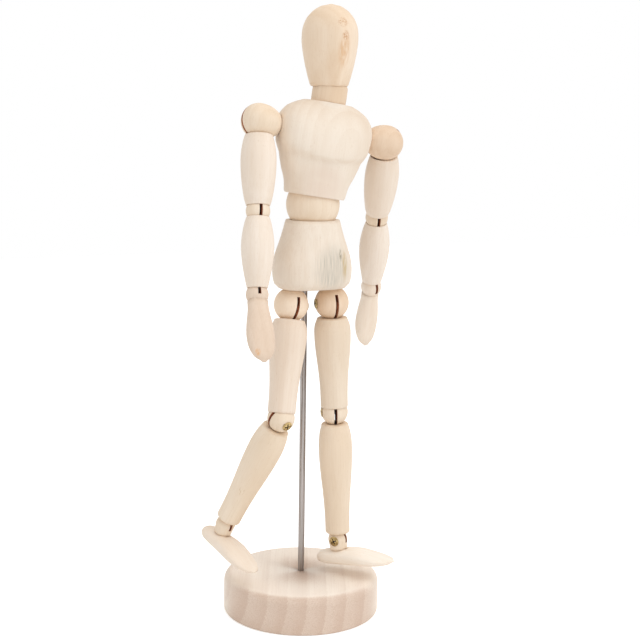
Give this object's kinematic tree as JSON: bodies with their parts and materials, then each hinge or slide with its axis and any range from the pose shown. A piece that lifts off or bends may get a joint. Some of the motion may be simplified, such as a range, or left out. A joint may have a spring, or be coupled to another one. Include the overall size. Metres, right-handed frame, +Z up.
{
  "type": "jointed wooden drawing figure",
  "caption": "Jointed wooden drawing figure with turned limbs on spring-held ball joints, posed mid-step on a steel rod above a round wooden base.",
  "frame": {"origin": "middle of the base's underside", "axes": "+Z up along the rod, the figure faces -Y, its left side is +X"},
  "size_m": [0.1047, 0.0884, 0.3026],
  "materials": {
    "wood": "pale, fine-sanded, unvarnished",
    "base_wood": "pale, fine-sanded, unvarnished, with upright bands of grain",
    "steel": "bright drawn wire and rod",
    "brass": "brass-plated, dulled"
  },
  "bodies": {
    "base": {"base": "base_wood", "support_rod": "steel"},
    "pelvis": {"pelvis": "wood", "pelvis_anchor_pin": "steel", "hip_springs": "steel"},
    "waist_ball": {"waist_ball": "wood"},
    "waist_spring": {"waist_spring": "steel"},
    "chest": {"chest": "wood", "chest_anchor_pins": "steel", "chest_spring": "steel"},
    "neck": {"neck": "wood"},
    "neck_spring": {"neck_spring": "steel"},
    "head": {"head": "wood", "head_anchor_pin": "steel"},
    "shoulder_ball_r": {"shoulder_ball_r": "wood", "shoulder_pin_r": "steel"},
    "upper_arm_r": {"upper_arm_r": "wood", "upper_arm_spring_r": "steel"},
    "elbow_ball_r": {"elbow_ball_r": "wood", "elbow_pin_r": "steel"},
    "forearm_r": {"forearm_r": "wood", "forearm_spring_r": "steel"},
    "wrist_tongue_r": {"wrist_tongue_r": "steel"},
    "hand_r": {"hand_r": "wood", "wrist_pin_r": "steel"},
    "hip_ball_r": {"hip_ball_r": "wood", "hip_screw_r": "brass"},
    "thigh_r": {"thigh_r": "wood", "thigh_spring_r": "steel"},
    "knee_ball_r": {"knee_ball_r": "wood", "knee_screw_r": "brass"},
    "shin_r": {"shin_r": "wood", "shin_spring_r": "steel"},
    "ankle_tongue_r": {"ankle_tongue_r": "steel"},
    "foot_r": {"foot_r": "wood", "ankle_ball_r": "wood", "ankle_screw_r": "brass"},
    "shoulder_ball_l": {"shoulder_ball_l": "wood", "shoulder_pin_l": "steel"},
    "upper_arm_l": {"upper_arm_l": "wood", "upper_arm_spring_l": "steel"},
    "elbow_ball_l": {"elbow_ball_l": "wood", "elbow_pin_l": "steel"},
    "forearm_l": {"forearm_l": "wood", "forearm_spring_l": "steel"},
    "wrist_tongue_l": {"wrist_tongue_l": "steel"},
    "hand_l": {"hand_l": "wood", "wrist_pin_l": "steel"},
    "hip_ball_l": {"hip_ball_l": "wood", "hip_screw_l": "brass"},
    "thigh_l": {"thigh_l": "wood", "thigh_spring_l": "steel"},
    "knee_ball_l": {"knee_ball_l": "wood", "knee_screw_l": "brass"},
    "shin_l": {"shin_l": "wood", "shin_spring_l": "steel"},
    "ankle_tongue_l": {"ankle_tongue_l": "steel"},
    "foot_l": {"foot_l": "wood", "ankle_ball_l": "wood", "ankle_screw_l": "brass"}
  },
  "joints": [
    {"name": "figure_turn", "type": "hinge", "parent": "base", "child": "pelvis", "pos_m": [0, 0, 0.159], "axis": [0, 0, 1], "continuous": true},
    {"name": "waist_turn", "type": "hinge", "parent": "pelvis", "child": "waist_ball", "pos_m": [0, -0.0085, 0.2076], "axis": [0, 0, 1], "range_deg": [-35, 35], "deforming": ["waist_spring"]},
    {"name": "waist_bend", "type": "hinge", "parent": "waist_ball", "child": "waist_spring", "pos_m": [0, -0.0085, 0.2076], "axis": [0.9986, -0.0523, 0], "range_deg": [-20, 18], "deforming": ["waist_spring"]},
    {"name": "waist_lean", "type": "hinge", "parent": "waist_spring", "child": "chest", "pos_m": [0, -0.0085, 0.2076], "axis": [0.0523, 0.9986, 0], "range_deg": [-20, 12], "deforming": ["waist_spring"]},
    {"name": "neck_turn", "type": "hinge", "parent": "chest", "child": "neck", "pos_m": [0.00781, -0.00891, 0.25992], "axis": [0.1476, -0.0077, 0.989], "range_deg": [-60, 60], "deforming": ["neck_spring"]},
    {"name": "head_nod", "type": "hinge", "parent": "neck", "child": "neck_spring", "pos_m": [0.00781, -0.00891, 0.25992], "axis": [0.9877, -0.0518, -0.1478], "range_deg": [-10, 10], "deforming": ["neck_spring"]},
    {"name": "head_tilt", "type": "hinge", "parent": "neck_spring", "child": "head", "pos_m": [0.00781, -0.00891, 0.25992], "axis": [0.0523, 0.9986, 0], "range_deg": [-6, 16], "deforming": ["neck_spring"]},
    {"name": "right_arm_swing", "type": "hinge", "parent": "chest", "child": "shoulder_ball_r", "pos_m": [-0.02802, -0.00703, 0.24718], "axis": [-0.9877, 0.0518, 0.1478], "range_deg": [-50, 110], "deforming": ["chest_spring"]},
    {"name": "right_arm_raise", "type": "hinge", "parent": "shoulder_ball_r", "child": "upper_arm_r", "pos_m": [-0.02802, -0.00703, 0.24718], "axis": [0.0151, 0.9708, -0.2393], "range_deg": [0, 80]},
    {"name": "right_elbow_turn", "type": "hinge", "parent": "upper_arm_r", "child": "elbow_ball_r", "pos_m": [-0.03249, -0.0172, 0.20564], "axis": [0.104, 0.2365, 0.9661], "range_deg": [-50, 60], "deforming": ["upper_arm_spring_r"]},
    {"name": "right_elbow_bend", "type": "hinge", "parent": "elbow_ball_r", "child": "forearm_r", "pos_m": [-0.03249, -0.0172, 0.20564], "axis": [-0.9874, 0.1407, 0.0718], "range_deg": [-10, 45]},
    {"name": "right_wrist_turn", "type": "hinge", "parent": "forearm_r", "child": "wrist_tongue_r", "pos_m": [-0.0366, -0.02654, 0.16748], "axis": [0.104, 0.2365, 0.9661], "range_deg": [-90, 90]},
    {"name": "right_wrist_bend", "type": "hinge", "parent": "wrist_tongue_r", "child": "hand_r", "pos_m": [-0.0366, -0.02654, 0.16748], "axis": [-0.9827, 0.1742, 0.0631], "range_deg": [-60, 40]},
    {"name": "right_hip_turn", "type": "hinge", "parent": "pelvis", "child": "hip_ball_r", "pos_m": [-0.011, -0.0085, 0.159], "axis": [0, 0, -1], "range_deg": [-12, 12], "deforming": ["hip_springs"]},
    {"name": "right_hip_swing", "type": "hinge", "parent": "hip_ball_r", "child": "thigh_r", "pos_m": [-0.011, -0.0085, 0.159], "axis": [-0.986, 0, 0.1668], "range_deg": [-20, 50]},
    {"name": "right_knee_turn", "type": "hinge", "parent": "thigh_r", "child": "knee_ball_r", "pos_m": [-0.02012, -0.01814, 0.10511], "axis": [0.1642, 0.1736, 0.971], "range_deg": [-20, 20], "deforming": ["thigh_spring_r"]},
    {"name": "right_knee_bend", "type": "hinge", "parent": "knee_ball_r", "child": "shin_r", "pos_m": [-0.02012, -0.01814, 0.10511], "axis": [0.1154, -0.8926, -0.4358], "range_deg": [-25, 18]},
    {"name": "right_ankle_turn", "type": "hinge", "parent": "shin_r", "child": "ankle_tongue_r", "pos_m": [-0.03855, 0.00809, 0.0465], "axis": [0.276, -0.3926, 0.8773], "range_deg": [-60, 60]},
    {"name": "right_ankle_bend", "type": "hinge", "parent": "ankle_tongue_r", "child": "foot_r", "pos_m": [-0.03855, 0.00809, 0.0465], "axis": [-0.9405, -0.2985, 0.1623], "range_deg": [-25, 30]},
    {"name": "left_arm_swing", "type": "hinge", "parent": "chest", "child": "shoulder_ball_l", "pos_m": [0.03835, -0.01051, 0.23725], "axis": [-0.9877, 0.0518, 0.1478], "range_deg": [-20, 140], "deforming": ["chest_spring"]},
    {"name": "left_arm_raise", "type": "hinge", "parent": "shoulder_ball_l", "child": "upper_arm_l", "pos_m": [0.03835, -0.01051, 0.23725], "axis": [-0.1136, -0.8863, -0.449], "range_deg": [-14, 66]},
    {"name": "left_elbow_turn", "type": "hinge", "parent": "upper_arm_l", "child": "elbow_ball_l", "pos_m": [0.04413, 0.00816, 0.19895], "axis": [-0.1344, -0.4341, 0.8908], "range_deg": [-50, 60], "deforming": ["upper_arm_spring_l"]},
    {"name": "left_elbow_bend", "type": "hinge", "parent": "elbow_ball_l", "child": "forearm_l", "pos_m": [0.04413, 0.00816, 0.19895], "axis": [-0.9671, 0.2533, -0.0225], "range_deg": [-15, 36]},
    {"name": "left_wrist_turn", "type": "hinge", "parent": "forearm_l", "child": "wrist_tongue_l", "pos_m": [0.0482, 0.02038, 0.16161], "axis": [-0.103, -0.3095, 0.9453], "range_deg": [-90, 90]},
    {"name": "left_wrist_bend", "type": "hinge", "parent": "wrist_tongue_l", "child": "hand_l", "pos_m": [0.0482, 0.02038, 0.16161], "axis": [-0.9781, -0.1414, -0.1529], "range_deg": [-50, 50]},
    {"name": "left_hip_turn", "type": "hinge", "parent": "pelvis", "child": "hip_ball_l", "pos_m": [0.011, -0.0085, 0.159], "axis": [0, 0, 1], "range_deg": [-12, 12], "deforming": ["hip_springs"]},
    {"name": "left_hip_swing", "type": "hinge", "parent": "hip_ball_l", "child": "thigh_l", "pos_m": [0.011, -0.0085, 0.159], "axis": [-0.9936, 0.1044, -0.0436], "range_deg": [-25, 55]},
    {"name": "left_knee_turn", "type": "hinge", "parent": "thigh_l", "child": "knee_ball_l", "pos_m": [0.01341, -0.00875, 0.10355], "axis": [-0.0434, 0.0046, 0.999], "range_deg": [-25, 45], "deforming": ["thigh_spring_l"]},
    {"name": "left_knee_bend", "type": "hinge", "parent": "knee_ball_l", "child": "shin_l", "pos_m": [0.01341, -0.00875, 0.10355], "axis": [0.9388, -0.3419, 0.0423], "range_deg": [-12, 45]},
    {"name": "left_ankle_turn", "type": "hinge", "parent": "shin_l", "child": "ankle_tongue_l", "pos_m": [0.01631, -0.00906, 0.03682], "axis": [-0.0434, 0.0046, 0.999], "range_deg": [-60, 60]},
    {"name": "left_ankle_bend", "type": "hinge", "parent": "ankle_tongue_l", "child": "foot_l", "pos_m": [0.01631, -0.00906, 0.03682], "axis": [-0.7873, -0.6157, -0.0314], "range_deg": [-8, 35]}
  ]
}
